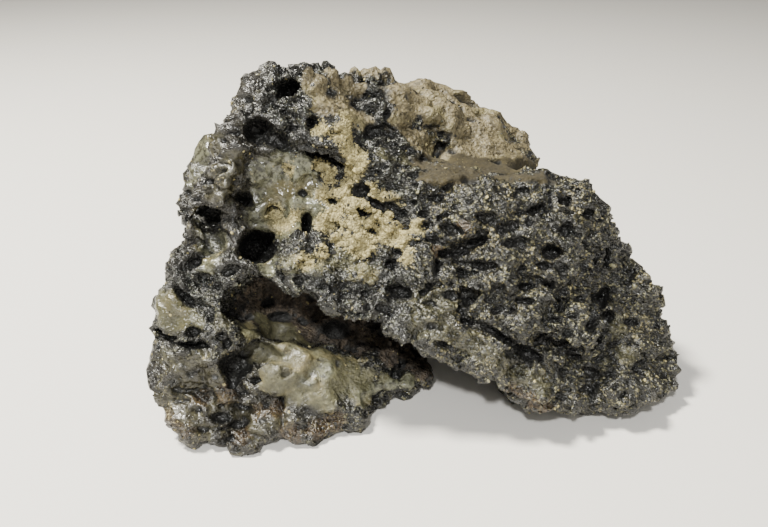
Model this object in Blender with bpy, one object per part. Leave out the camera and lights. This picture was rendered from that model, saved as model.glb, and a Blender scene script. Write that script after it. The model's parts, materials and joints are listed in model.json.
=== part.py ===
"""A hand specimen of scoria: one dark, bubbly lump of lava with a broken front.

Run it with blender --background --python part.py. It models the lump at its real size in metres,
+Z up, resting on its own flat spots, with the origin under the middle of its box. Sizes and places
below are in millimetres, measured from a point under the lump, and -Y is its broken front.
"""
import math
import random
import bmesh
import bpy
from mathutils import Euler, Matrix, Vector, noise
from mathutils.bvhtree import BVHTree
from mathutils.kdtree import KDTree

MM = 0.001
# Sizes of the skin's cells: of the lump, of what is cut from it, and of the finished stone.
CELL_LUMP = 0.8
CELL_CUTTER = 0.35
CELL_STONE = 0.4
WEAR_ROUNDS = 3          # how often the lump's edges are worn round
MOST_TRIANGLES = 9500

# The front is looked at from here, down this slope. Its bubbles are placed on a plane that faces
# the viewpoint, this far from it.
VIEWPOINT = Vector((-5.0, -62.0, 43.6))
VIEW_SLOPE = math.radians(28)
VIEW_DISTANCE = 62.0

STONE_COLOUR = (0.045, 0.042, 0.038, 1.0)
STONE_ROUGHNESS = 0.55

# The lump before it broke: convex lobes that overlap, each by its own corners.
LOBES = {
    "upper_left_block": (
        (-18.6, 0.4, 30.2), (-16, 1, 30.4), (-12, 2, 30.6), (-10, 4, 29), (-18.5, -1, 27),
        (-18.5, -3, 22.5), (-9, 0, 24.5), (-5, -4.5, 19.5), (-5, -7.5, 16), (-9, -11, 12), (-18, -9.5, 14),
        (-23.5, -4.5, 18), (-22, -7.5, 15), (-19, 8, 25), (-10, 10, 26), (-22, 7, 18), (-6, 10, 20),
        (-20, 10, 8), (-6, 10, 6),
    ),
    "left_flank": (
        (-22.5, 5.5, 24.4), (-24.5, 3.5, 20), (-25.5, 0.5, 17), (-20, 5.5, 25.5), (-20, 11, 20),
        (-23.5, 8, 10), (-25, 0, 6), (-18, 13, 8), (-22, 8, 0), (-24, -4, 0),
    ),
    "left_crust": (
        (-23.5, -5, 16.5), (-22, -7.5, 15), (-18, -9, 14), (-26.4, -8.5, 10.5), (-26.6, -9, 8.5),
        (-25.8, -11.5, 5), (-18.5, -11.5, 9), (-19, -13, 5), (-24, -2, 14), (-24, 0, 6), (-18, 0, 6),
    ),
    "left_foot": (
        (-26, -9, 8.5), (-25.8, -11.5, 5), (-24.5, -15, 1.5), (-22.5, -17.2, -0.4), (-17.5, -17.3, -0.4),
        (-13.5, -16.3, -0.3), (-8.5, -13, -0.1), (-5, -9.5, 0.3), (-1.5, -7, 0.3), (-10, -8, 6.5),
        (-18, -9.5, 8.5), (-13, -11.6, 6), (-9, -10.8, 4.8), (-24, 4, 10), (-22, 8, 0.3), (-2, 0, 0.3),
        (-8, 0, 10),
    ),
    "middle": (
        (-9, 0, 24.5), (-3, -3, 20.5), (-9, -11.5, 12), (-3.5, -12, 10.5), (-13, -10.5, 13), (0, -13, 8.5),
        (2, -9, 15), (-9, 6, 20), (2, 6, 18), (-9, 2, 10), (2, 2, 8), (-14, -9, 15),
    ),
    "ridge": (
        (-10, 4.5, 28.8), (-6.5, 9, 28.4), (-3.5, 11.5, 27), (0, 14, 26), (4, 14, 24.4), (8, 12.5, 22),
        (12, 11.5, 19.6), (12.6, 8.5, 17.8), (0, 4.5, 20.5), (8, 6.5, 18.5), (-6, 0.5, 22), (-8, 14, 22),
        (0, 17, 17), (10.5, 15, 13), (-12, 14, 8), (9, 14, 3), (-12, 13, 0.3), (6, 13, 0.3),
    ),
    "right_block": (
        (-3.5, -3.5, 20.4), (0, -3, 21), (7.5, -2, 20.6), (12.8, -1, 20.6), (16.4, -2.5, 17.2),
        (17, -3.5, 15), (15, -9, 9), (10.5, -12.5, 7), (4, -14, 6), (0, -13, 8), (-3.5, -11.5, 10.5),
        (12, 5, 18.2), (17, 4, 14), (-2, 5, 19.5), (16, 6, 4), (-2, 6, 4), (-4, -8, 15), (7, -8.5, 14.2),
    ),
    "back": (
        (-21, 9.5, 17), (-17, 13, 13), (-19, 11, 2), (-15, 13.5, 0.3), (-20, 7, 0.3), (-4, 16.5, 12),
        (-15, 12.5, 23), (-10, 15, 22), (3, 17, 6), (4, 15, 0.3), (12, 13.5, 10), (15.5, 10, 8),
        (14.5, 10.5, 0.3), (17.5, 5, 9), (16, 3, 0.3), (-6, 8, 0.3), (8, 7, 16), (-16, 6, 20),
    ),
    "right_flank": (
        (18, -1, 13.8), (20.7, -3, 10.2), (23.2, -5, 5.8), (24.8, -7.6, 2.6), (24, -9.6, 1.3),
        (17.5, -11.7, 1.8), (10.5, -14.5, 3.2), (8.5, -15.2, 3.2), (6, -15, 4.2), (4.5, -14, 5.5),
        (10, -10.5, 0.3), (20, -6.8, 0.3), (22, 2, 1), (18, 8, 3), (17, 6, 12), (6, -8, 0.3), (14, 9, 0.3),
    ),
}

# Broad swells that the cooling left all over: (width, height) of each size of swell.
SWELLS = ((9.0, 1.1), (4.0, 0.7), (1.9, 0.4))

# Hollows that the break opened: centre, half-sizes, and turn about X, Y and Z in degrees.
HOLLOWS = {
    "cavity_left": ((-13.0, -6.5, 9.3), (5.6, 5.2, 3.3), (-25, 8, 0)),
    "cavity_middle": ((-7.0, -7.5, 8.0), (6.0, 5.0, 3.0), (-25, 14, -10)),
    "cavity_right": ((-1.5, -9.5, 4.5), (5.5, 5.0, 3.2), (-15, 18, -15)),
    "valley": ((5.5, 3.6, 22.0), (9.5, 3.6, 2.9), (4, 10, 8)),
}

# Bubbles that the break laid open: place across and up on the view plane, half-length, half-width,
# depth, and the turn of the length from level in degrees.
BUBBLES = {
    "bowl": (-9.8, 6.0, 4.6, 4.0, 3.2, 75),
    "bowl_right": (-5.4, 5.6, 3.4, 2.3, 2.2, 80),
    "bowl_brow": (-4.6, 8.2, 3.8, 0.8, 2.6, -30),
    "left_upper_room": (-15.4, 2.7, 2.6, 1.9, 2.0, 75),
    "left_upper_hole": (-15.5, 3.7, 1.7, 1.0, 4.2, 5),
    "left_lower_room": (-10.7, 0.9, 2.0, 1.6, 2.0, -10),
    "left_lower_hole": (-11.1, 1.5, 1.8, 1.25, 4.4, -5),
    "top_hole": (-8.8, 15.3, 1.3, 0.9, 2.2, 25),
    "top_left_slot": (-11.0, 11.8, 1.1, 0.8, 2.0, 10),
    "top_right_hole": (-6.3, 12.3, 0.9, 0.8, 1.8, 0),
    "front_crevice": (16.6, -8.0, 3.8, 0.7, 3.2, -14),
    "crevice_pocket": (14.2, -7.2, 2.4, 0.9, 3.0, -32),
    "right_groove": (19.6, -1.6, 4.6, 0.8, 3.4, 78),
    "cavity_west": (-12.9, -3.9, 1.9, 1.5, 3.6, 60),
    "foot_cave": (-10.8, -8.0, 2.3, 1.0, 2.6, -8),
    "ridge_pit": (4.4, 10.0, 1.3, 0.8, 2.0, -10),
}


MOUTH_DEPTH = 0.1        # how far a bubble's middle lies in from its mouth, as a share of its depth

# Small pits by zone: spacing, smallest and largest half-size.
PITS = {
    "right_face": (2.3, 0.6, 1.05),
    "left_face": (3.1, 0.8, 1.5),
    "skin": (5.0, 0.7, 1.2),
    "back": (3.6, 0.8, 1.7),
}
PIT_TRIES = 6000
PIT_RISE = 0.3           # how far a pit's middle stands proud, as a share of its size
SKIN_BACK_FROM = 5.0     # the zones' borders: how far back, how low and how high they begin
SKIN_LOW_BELOW = 1.5
SKIN_HIGH_ABOVE = 20.0
LEDGE_ABOVE = 17.0
LEDGE_RIGHT_OF = -8.0
RIGHT_FACE_RIGHT_OF = -3.0
GROUND = 200.0           # side of the block that the base is cut with
SCATTER_SEED = 7


def clear_scene():
    for obj in list(bpy.data.objects):
        bpy.data.objects.remove(obj)


def mesh_object(name, shape):
    """A new object that holds the bmesh, which is then freed."""
    mesh = bpy.data.meshes.new(name)
    shape.to_mesh(mesh)
    shape.free()
    obj = bpy.data.objects.new(name, mesh)
    bpy.context.scene.collection.objects.link(obj)
    return obj


def add_hull(shape, corners):
    """Adds the convex hull of these corners to a bmesh."""
    verts = [shape.verts.new(Vector(corner) * MM) for corner in corners]
    made = bmesh.ops.convex_hull(shape, input=verts)
    spare = made["geom_interior"] + made["geom_unused"]
    spare = {v for v in spare if isinstance(v, bmesh.types.BMVert)}
    bmesh.ops.delete(shape, geom=list(spare), context="VERTS")


def add_ellipsoid(shape, centre, half_sizes, turn, fineness=3):
    """Adds an ellipsoid to a bmesh. turn is a rotation matrix."""
    place = Matrix.Translation(Vector(centre) * MM) @ turn.to_4x4() @ Matrix.Diagonal((*half_sizes, 1))
    bmesh.ops.create_icosphere(shape, subdivisions=fineness, radius=MM, matrix=place)


def turned(degrees):
    return Euler([math.radians(angle) for angle in degrees]).to_matrix()


def apply_modifiers(obj):
    graph = bpy.context.evaluated_depsgraph_get()
    done = bpy.data.meshes.new_from_object(obj.evaluated_get(graph), depsgraph=graph)
    obj.modifiers.clear()
    obj.data = done


def remesh(obj, cell):
    modifier = obj.modifiers.new("cells", "REMESH")
    modifier.mode = "VOXEL"
    modifier.voxel_size = cell * MM
    apply_modifiers(obj)


def smooth(obj, rounds):
    modifier = obj.modifiers.new("worn edges", "SMOOTH")
    modifier.factor = 0.5
    modifier.iterations = rounds
    apply_modifiers(obj)


def carve(obj, cutter):
    """Cuts the cutter's own remeshed shape out of the object."""
    remesh(cutter, CELL_CUTTER)
    modifier = obj.modifiers.new("carve", "BOOLEAN")
    modifier.operation = "DIFFERENCE"
    modifier.solver = "EXACT"
    modifier.object = cutter
    apply_modifiers(obj)
    bpy.data.objects.remove(cutter)


def lump():
    """The unbroken lump: the lobes grown into one, with rounded edges."""
    shape = bmesh.new()
    for corners in LOBES.values():
        add_hull(shape, corners)
    rock = mesh_object("scoria", shape)
    remesh(rock, CELL_LUMP)
    smooth(rock, WEAR_ROUNDS)
    return rock


def swell(rock):
    """Moves the surface in and out along its normals by noise of each size of swell."""
    for vert in rock.data.vertices:
        place = vert.co / MM
        lift = sum(height * noise.noise(place / width + Vector((width, 0, 0))) for width, height in SWELLS)
        vert.co += vert.normal * lift * MM


def view_direction(across, rise):
    """The direction from the viewpoint to a place on the view plane."""
    ahead = Vector((0, math.cos(VIEW_SLOPE), -math.sin(VIEW_SLOPE)))
    up = Vector((0, math.sin(VIEW_SLOPE), math.cos(VIEW_SLOPE)))
    return (ahead * VIEW_DISTANCE + Vector((across, 0, 0)) + up * rise).normalized()


def surface_tree(rock):
    shape = bmesh.new()
    shape.from_mesh(rock.data)
    tree = BVHTree.FromBMesh(shape)
    shape.free()
    return tree


def open_hollows(rock):
    shape = bmesh.new()
    for centre, half_sizes, turn in HOLLOWS.values():
        add_ellipsoid(shape, centre, half_sizes, turned(turn))
    carve(rock, mesh_object("hollows", shape))


def open_bubbles(rock):
    """Cuts each bubble in along its own line of view, with its mouth where that line meets the rock."""
    tree = surface_tree(rock)
    shape = bmesh.new()
    for across, rise, half_length, half_width, depth, roll in BUBBLES.values():
        inward = view_direction(across, rise)
        mouth = tree.ray_cast(VIEWPOINT * MM, inward)[0]
        turn = inward.to_track_quat("Y", "Z").to_matrix() @ Matrix.Rotation(math.radians(-roll), 3, "Y")
        centre = mouth / MM + inward * MOUTH_DEPTH * depth
        add_ellipsoid(shape, centre, (half_length, depth, half_width), turn)
    carve(rock, mesh_object("bubbles", shape))


def zone_of(place):
    """The zone of a point of the surface, which sets how it is pitted."""
    if place.y > SKIN_BACK_FROM or place.z < SKIN_LOW_BELOW:
        return "back"
    on_ledge = place.y > 0 and place.z > LEDGE_ABOVE and place.x > LEDGE_RIGHT_OF
    if place.z > SKIN_HIGH_ABOVE or on_ledge:
        return "skin"
    return "right_face" if place.x > RIGHT_FACE_RIGHT_OF else "left_face"


def pit_places(rock):
    """Scattered places on the surface, each at least its zone's spacing from those before it."""
    draw = random.Random(SCATTER_SEED)
    mesh = rock.data
    mesh.calc_loop_triangles()
    triangles = list(mesh.loop_triangles)
    tries = draw.choices(triangles, weights=[t.area for t in triangles], k=PIT_TRIES)
    kept = []
    for triangle in tries:
        place = Vector(triangle.center) / MM
        spacing, small, large = PITS[zone_of(place)]
        if all((place - other).length > spacing for other, _, _ in kept):
            kept.append((place, Vector(triangle.normal), draw.uniform(small, large)))
    return kept


def press_pits(rock):
    """Presses round pits in: what lies inside a pit's ball goes in to the ball's far wall."""
    verts = rock.data.vertices
    finder = KDTree(len(verts))
    for vert in verts:
        finder.insert(vert.co / MM, vert.index)
    finder.balance()
    for place, normal, size in pit_places(rock):
        centre = place + normal * size * PIT_RISE
        for spot, index, _ in finder.find_range(centre, size):
            off = spot - centre
            sunk = -off.dot(normal)
            across = (off + normal * sunk).length
            depth = math.sqrt(size ** 2 - across ** 2) - sunk
            verts[index].co = (spot - normal * depth) * MM


def thin_out(rock):
    """Brings the skin down to the number of triangles that it may have."""
    remesh(rock, CELL_STONE)
    rock.data.calc_loop_triangles()
    modifier = rock.modifiers.new("fewer faces", "DECIMATE")
    modifier.ratio = min(1.0, MOST_TRIANGLES / len(rock.data.loop_triangles))
    apply_modifiers(rock)


def cut_base(rock):
    """Cuts the underside off level, so that it rests on flat spots."""
    bpy.ops.mesh.primitive_cube_add(size=GROUND * MM, location=(0, 0, -GROUND / 2 * MM))
    ground = bpy.context.object
    modifier = rock.modifiers.new("rests here", "BOOLEAN")
    modifier.operation = "DIFFERENCE"
    modifier.solver = "EXACT"
    modifier.object = ground
    apply_modifiers(rock)
    bpy.data.objects.remove(ground)


def keep_largest(rock):
    """Drops every crumb and every sealed bubble that isn't part of the largest skin."""
    shape = bmesh.new()
    shape.from_mesh(rock.data)
    left = set(shape.verts)
    skins = []
    while left:
        front = [left.pop()]
        skin = set(front)
        while front:
            vert = front.pop()
            near = [edge.other_vert(vert) for edge in vert.link_edges]
            fresh = [other for other in near if other in left]
            left.difference_update(fresh)
            skin.update(fresh)
            front.extend(fresh)
        skins.append(skin)
    skins.sort(key=len)
    spare = [vert for skin in skins[:-1] for vert in skin]
    bmesh.ops.delete(shape, geom=spare, context="VERTS")
    bmesh.ops.triangulate(shape, faces=shape.faces)
    shape.to_mesh(rock.data)
    shape.free()


def centre_on_base(rock):
    corners = [Vector(corner) for corner in rock.bound_box]
    low = Vector(map(min, *corners))
    high = Vector(map(max, *corners))
    middle = (low + high) / 2
    rock.data.transform(Matrix.Translation((-middle.x, -middle.y, -low.z)))


def colour(rock):
    material = bpy.data.materials.new("scoria")
    material.use_nodes = True
    shader = material.node_tree.nodes["Principled BSDF"]
    shader.inputs["Base Color"].default_value = STONE_COLOUR
    shader.inputs["Roughness"].default_value = STONE_ROUGHNESS
    shader.inputs["Metallic"].default_value = 0.0
    rock.data.materials.clear()
    rock.data.materials.append(material)


def main():
    clear_scene()
    rock = lump()
    swell(rock)
    open_hollows(rock)
    open_bubbles(rock)
    remesh(rock, CELL_STONE)
    press_pits(rock)
    thin_out(rock)
    cut_base(rock)
    keep_largest(rock)
    centre_on_base(rock)
    colour(rock)


main()
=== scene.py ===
"""A hand specimen of scoria, dressed: the broken, bubbly stone, its crumbs of tan dust and glassy grains.

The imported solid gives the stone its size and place. A copy of it is reskinned with fine cells, pitted
with bubbles, roughened and coloured zone by zone. Lengths are in millimetres until they go to Blender.
"""
import json
import math
from types import SimpleNamespace
import bmesh
import bpy
import numpy as np
from bpy.props import FloatProperty, FloatVectorProperty, IntProperty, PointerProperty
from mathutils import Euler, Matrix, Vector, noise
from mathutils.bvhtree import BVHTree
from mathutils.kdtree import KDTree

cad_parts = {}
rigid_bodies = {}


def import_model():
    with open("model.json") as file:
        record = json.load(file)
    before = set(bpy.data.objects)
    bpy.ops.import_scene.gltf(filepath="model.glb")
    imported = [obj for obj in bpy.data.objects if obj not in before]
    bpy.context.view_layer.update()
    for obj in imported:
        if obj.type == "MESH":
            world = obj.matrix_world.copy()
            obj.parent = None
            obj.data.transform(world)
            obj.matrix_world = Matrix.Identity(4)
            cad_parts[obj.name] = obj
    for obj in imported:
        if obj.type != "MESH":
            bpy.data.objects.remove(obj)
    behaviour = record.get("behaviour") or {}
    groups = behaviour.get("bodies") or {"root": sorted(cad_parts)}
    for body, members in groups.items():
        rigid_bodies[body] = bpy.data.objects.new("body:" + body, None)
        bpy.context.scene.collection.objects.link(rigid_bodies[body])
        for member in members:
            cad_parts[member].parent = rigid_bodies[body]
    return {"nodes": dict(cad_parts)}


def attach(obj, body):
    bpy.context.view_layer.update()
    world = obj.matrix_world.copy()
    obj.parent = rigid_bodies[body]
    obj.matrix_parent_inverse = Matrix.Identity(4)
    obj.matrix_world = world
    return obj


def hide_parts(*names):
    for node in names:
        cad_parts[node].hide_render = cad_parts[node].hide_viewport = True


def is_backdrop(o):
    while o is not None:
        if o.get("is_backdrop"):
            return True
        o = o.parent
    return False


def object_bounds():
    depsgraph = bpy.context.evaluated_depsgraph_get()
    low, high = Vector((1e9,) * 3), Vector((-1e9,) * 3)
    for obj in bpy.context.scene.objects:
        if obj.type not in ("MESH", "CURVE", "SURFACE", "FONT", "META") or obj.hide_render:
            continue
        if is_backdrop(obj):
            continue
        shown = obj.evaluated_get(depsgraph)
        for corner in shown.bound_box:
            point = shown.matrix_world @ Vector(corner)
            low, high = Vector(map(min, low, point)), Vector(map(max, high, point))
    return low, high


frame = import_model()
CAD_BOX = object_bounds()

bl_info = {
    "name": "Scoria Specimen",
    "version": (1, 0, 0),
    "blender": (4, 5, 0),
    "location": "View3D > Sidebar > Scoria",
    "description": "Builds a dressed hand specimen of scoria",
    "category": "Add Mesh",
}

MM = 0.001
WELD = 0.001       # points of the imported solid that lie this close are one

# The front is looked at from here, down this slope. Places on the front are given across and up on a
# plane that faces the viewpoint, this far from it.
VIEWPOINT = Vector((-3.75, -62.6, 43.6))
VIEW_SLOPE = math.radians(28)
VIEW_DISTANCE = 62.0
AHEAD = (0.0, math.cos(VIEW_SLOPE), -math.sin(VIEW_SLOPE))
UP = (0.0, math.sin(VIEW_SLOPE), math.cos(VIEW_SLOPE))
SIDE = (1.0, 0.0, 0.0)
LENS = 32.81       # focal length of the camera, and the width of its sensor
SENSOR = 36.0

# Bubbles that the break laid open: across, up, half-length, half-width, and the turn of the length from
# level in degrees.
BUBBLES = {
    "right_face": (
        (6.4, 5, 0.44, 0.27, 25), (7.5, 5.5, 0.44, 0.27, 20), (3.5, 4.4, 0.44, 0.4, 0),
        (8.5, 4.2, 0.35, 0.35, 0), (9.4, 4.1, 0.53, 0.44, 0), (10.5, 3.1, 0.62, 0.44, 60),
        (11.2, 1.8, 0.53, 0.44, 20), (13.2, 3.9, 0.71, 0.44, 35), (12.3, 6.6, 0.62, 0.35, -20),
        (16.1, 5.6, 0.62, 0.53, 60), (16.3, 3, 0.71, 0.58, 10), (14.9, 1, 0.8, 0.62, 15),
        (15.9, -0.5, 0.53, 0.44, 30), (14.2, -0.2, 0.53, 0.35, 0), (8.3, -0.1, 0.97, 0.35, -8),
        (8.9, -0.6, 0.53, 0.35, 0), (6.8, -0.8, 0.53, 0.35, 0), (6, -1.7, 0.35, 0.27, 10),
        (4.3, 0, 0.53, 0.35, 0), (5.8, 0.9, 0.97, 0.35, 5), (2.5, 1.9, 0.62, 0.22, 0),
        (1.1, 1, 0.53, 0.35, -20), (1.4, -2.6, 1.06, 0.53, -20), (3.5, -2.6, 0.44, 0.22, -10),
        (6.1, -2.9, 0.71, 0.4, -15), (7.4, -3.3, 0.62, 0.31, -15), (9.4, -3.3, 0.53, 0.22, -10),
        (8.3, -2, 0.44, 0.22, 0), (10.2, -2.1, 0.53, 0.27, 0), (12.7, -2, 0.97, 0.27, 8),
        (12.5, -3.3, 0.8, 0.27, -10), (14.6, -2, 0.35, 0.31, 0), (15.9, -2.5, 0.44, 0.27, 20),
        (17.6, -3.1, 0.71, 0.27, 20), (9.9, -4.2, 0.53, 0.31, 30), (7.3, -5.2, 0.71, 0.27, -15),
        (8.9, -5.7, 1.06, 0.27, -18), (4.2, -5.5, 0.53, 0.27, -10), (5.3, -7.2, 0.71, 0.22, -20),
        (13.6, -5.1, 0.53, 0.27, 15), (15.2, -5, 0.62, 0.22, 5), (16.3, -6.2, 0.44, 0.27, 25),
        (15.6, -7.2, 0.8, 0.31, 20), (11.6, -8.1, 0.8, 0.44, -12), (12.9, -7.9, 0.71, 0.35, -15),
        (17.2, -7.9, 0.89, 0.31, 0), (19.2, -8.4, 0.53, 0.35, 45), (19.9, -4.7, 0.53, 0.44, 60),
        (18.7, 0.5, 0.8, 0.22, 85), (18.7, -2.3, 0.89, 0.22, 80), (8.7, 2.7, 0.44, 0.35, 0),
        (8.2, 1.9, 0.89, 0.35, 15), (5.6, 6.8, 0.62, 0.27, 35), (4.7, 5.8, 0.44, 0.27, 0),
        (17.2, 6.5, 0.44, 0.35, 0), (18.2, 4.4, 0.44, 0.44, 0), (10.3, -6.4, 0.44, 0.22, -15),
        (12, -6.3, 0.44, 0.27, 10), (18.2, -5.4, 0.44, 0.27, 40), (19, -6.8, 0.44, 0.27, 50),
    ),
    "right_flank": (
        (21.9, -7.2, 0.31, 0.27, 0), (20, -9.7, 0.62, 0.27, 15), (21.3, -11.6, 0.53, 0.22, 50),
        (22.1, -3.1, 0.35, 0.18, 80), (23.2, -6.2, 0.27, 0.18, 0), (24.4, -9, 0.27, 0.18, 0),
        (22.7, -9.9, 0.35, 0.18, 10), (23.7, -7.7, 0.27, 0.18, 20), (20.7, -10.9, 0.44, 0.27, 60),
    ),
    "upper_left": (
        (-8.5, 15.3, 1.06, 0.62, 25), (-12.3, 14.6, 0.62, 0.35, -10), (-11.1, 11.9, 0.71, 0.62, 0),
        (-6.4, 12.5, 0.49, 0.4, -10), (-1, 11.5, 0.71, 0.44, 10), (-9.3, 11.1, 0.8, 0.44, -25),
        (-4.5, 9.4, 1.06, 0.35, -30), (-10.5, 16.3, 0.35, 0.27, 30), (-7.4, 16.8, 0.27, 0.18, 10),
        (-12, 12.9, 0.35, 0.27, 0), (-8.9, 13.4, 0.27, 0.27, 0),
    ),
    "crumbly_ridge": (
        (-2.4, 6.8, 0.53, 0.53, 0), (-7.3, 6.2, 0.44, 0.35, -30), (-6.9, 3.8, 0.62, 0.35, 75),
        (-2, 4.5, 0.71, 0.35, -40), (0.8, 5, 0.8, 0.35, -35), (1.3, 4.1, 0.44, 0.35, 0),
        (-6.4, 2.3, 0.35, 0.35, 0), (-5.5, 7.7, 0.44, 0.22, 50), (2.7, 5.4, 0.27, 0.27, 0),
        (0.1, 8.7, 0.62, 0.18, 0), (-4.8, 5.6, 0.35, 0.27, 20), (-3.5, 3.1, 0.44, 0.27, -30),
        (-1.1, 2.8, 0.53, 0.27, -20), (-5.1, 1, 0.35, 0.22, 0),
    ),
    "brown_ridge": (
        (4.9, 11.4, 0.44, 0.27, 30), (4.9, 10.3, 0.44, 0.44, 0), (6, 9.9, 0.44, 0.27, 0),
        (5.8, 11.2, 0.44, 0.27, 80), (7.7, 12.7, 0.44, 0.22, -10), (13.2, 9.1, 0.35, 0.27, 80),
        (0.4, 14.1, 0.53, 0.22, 60), (-0.1, 15.5, 0.8, 0.35, 80), (1.1, 10.4, 0.35, 0.18, 0),
        (-1.1, 13.4, 0.44, 0.18, 30), (11.4, 7.6, 0.27, 0.13, 0), (3.6, 12, 0.35, 0.22, 20),
        (2.1, 14.8, 0.27, 0.18, 0),
    ),
    "left_foot": (
        (-17.1, -9.8, 0.35, 0.27, 80), (-18.9, -10.5, 0.35, 0.27, 0), (-14.4, -6.5, 0.44, 0.35, 20),
        (-13.9, -7.1, 0.44, 0.35, 80), (-15, -10.1, 0.35, 0.27, 0), (-14.4, -13.7, 0.8, 0.44, -10),
        (-12.7, -12.7, 0.8, 0.27, -10), (-8.2, -12.9, 0.27, 0.18, 0), (-18.3, -11.2, 0.44, 0.27, 0),
        (-16.4, -13, 0.35, 0.27, 0), (-14.9, -11.5, 0.35, 0.22, 10), (-12.4, -11.5, 0.35, 0.27, 0),
        (-10.4, -12.6, 0.27, 0.27, 0), (-20, -7.5, 0.27, 0.18, 0), (-17.5, -12.1, 0.35, 0.18, 0),
        (-15.9, -14.7, 0.44, 0.22, -10), (-13.1, -14.3, 0.53, 0.22, -5), (-10.8, -13.9, 0.44, 0.27, 0),
    ),
    "cavity": (
        (-9.1, -4.7, 1.06, 0.44, 5), (-10.5, -3.5, 0.89, 0.35, 5), (-4.3, -5.8, 1.24, 0.8, 0),
        (-7.5, -1.5, 0.44, 0.35, 0), (-3.9, -3.2, 0.44, 0.22, 30), (1.6, -2.5, 0.8, 0.44, -10),
        (0, -3.9, 0.8, 0.35, 10), (-1.4, -3.9, 0.44, 0.27, 0), (0.1, -1.1, 0.53, 0.35, 50),
        (-5.6, -8.5, 0.35, 0.13, 0), (-4.1, -8.9, 0.35, 0.27, 80), (-11.9, -4.8, 0.53, 0.35, 0),
        (-6.6, -3.2, 0.44, 0.27, 0),
    ),
    "clefts": (
        (20.1, 0.3, 1.7, 0.5, 85), (19.5, -2.9, 1.5, 0.5, 75), (18.9, -5.1, 1.1, 0.55, 55),
        (8.2, -5.4, 1.3, 0.3, -18), (10.7, -6.7, 1.4, 0.38, -30), (12.9, -8.1, 1.7, 0.75, -35),
        (15.3, -9.5, 1.6, 0.8, -28), (-19.5, -1.8, 1.2, 0.3, -18), (-17.7, -3, 1.4, 0.45, -50),
        (-19.6, -6.2, 1.5, 0.35, -32), (-17.1, -7.3, 1.7, 0.33, -6), (0.3, 15.4, 1.2, 0.4, 80),
        (0.5, 13.6, 0.8, 0.35, 60), (-9.5, 10.5, 1.5, 0.45, -26), (-5.3, 9, 2.2, 0.5, -27),
    ),
    "deep_rooms": (
        (-15.4, 4.2, 1.7, 1.2, 8), (-11.2, 1.4, 1.9, 1.55, 0), (-8.6, 15.2, 1.3, 0.8, 25),
        (-11.1, 11.7, 1.1, 0.95, 0), (-0.8, 11.8, 0.9, 0.6, 0), (-2.2, 6.6, 0.8, 0.75, 0),
        (-0.6, 5.2, 1.3, 0.45, -35), (-4.3, -5.8, 1.5, 1.1, 0), (-6.9, 3.4, 0.4, 0.9, 0),
        (-13, -9, 1.6, 1.3, 0),
    ),
    "low_rooms": ((-15.4, 1.9, 1.5, 1.25, 0), (-10, -0.2, 1.0, 0.8, 0)),
    "left_edge": (
        (-15.6, 7.2, 0.53, 0.27, 30), (-16.8, 0.1, 0.62, 0.44, 30), (-16.1, 0.8, 0.8, 0.22, 5),
        (-13.8, 5.7, 0.27, 0.27, 0), (-13.4, 3.5, 0.35, 0.18, 80), (-14.8, -2.1, 0.62, 0.27, 0),
        (-17.8, -0.5, 0.35, 0.22, 0), (-16.7, 5.7, 0.35, 0.27, 30), (-15.1, 9.2, 0.35, 0.27, 40),
        (-14.3, 10.9, 0.35, 0.27, 30),
    ),
}
DEPTH_OF = {   # how deep the bubbles of each group go, as a share of their half-width
    "right_face": 2.7,
    "right_flank": 2.2,
    "upper_left": 2.4,
    "crumbly_ridge": 2.4,
    "brown_ridge": 1.6,
    "left_foot": 2.0,
    "cavity": 1.8,
    "clefts": 2.8,
    "deep_rooms": 2.6,
    "low_rooms": 1.0,
    "left_edge": 2.0,
}

LARGE_BUBBLE = 1.2   # from this half-length on, a listed bubble is cut as large as it is given
ROUNDING = 1.25      # the others are cut this much larger, because the skin's cells round them off

# Places where the skin is drawn aside in the view: across, up, reach, then how far across and up.
NUDGES = (
    (-15, 15.6, 4.0, 1.6, -0.2),
    (-14.6, 12.6, 2.5, 0.7, 0),
    (1.8, -10.2, 2.7, 2.4, 0.3),
    (-12.0, 17.2, 2.6, 0.2, -0.9),
)

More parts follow.
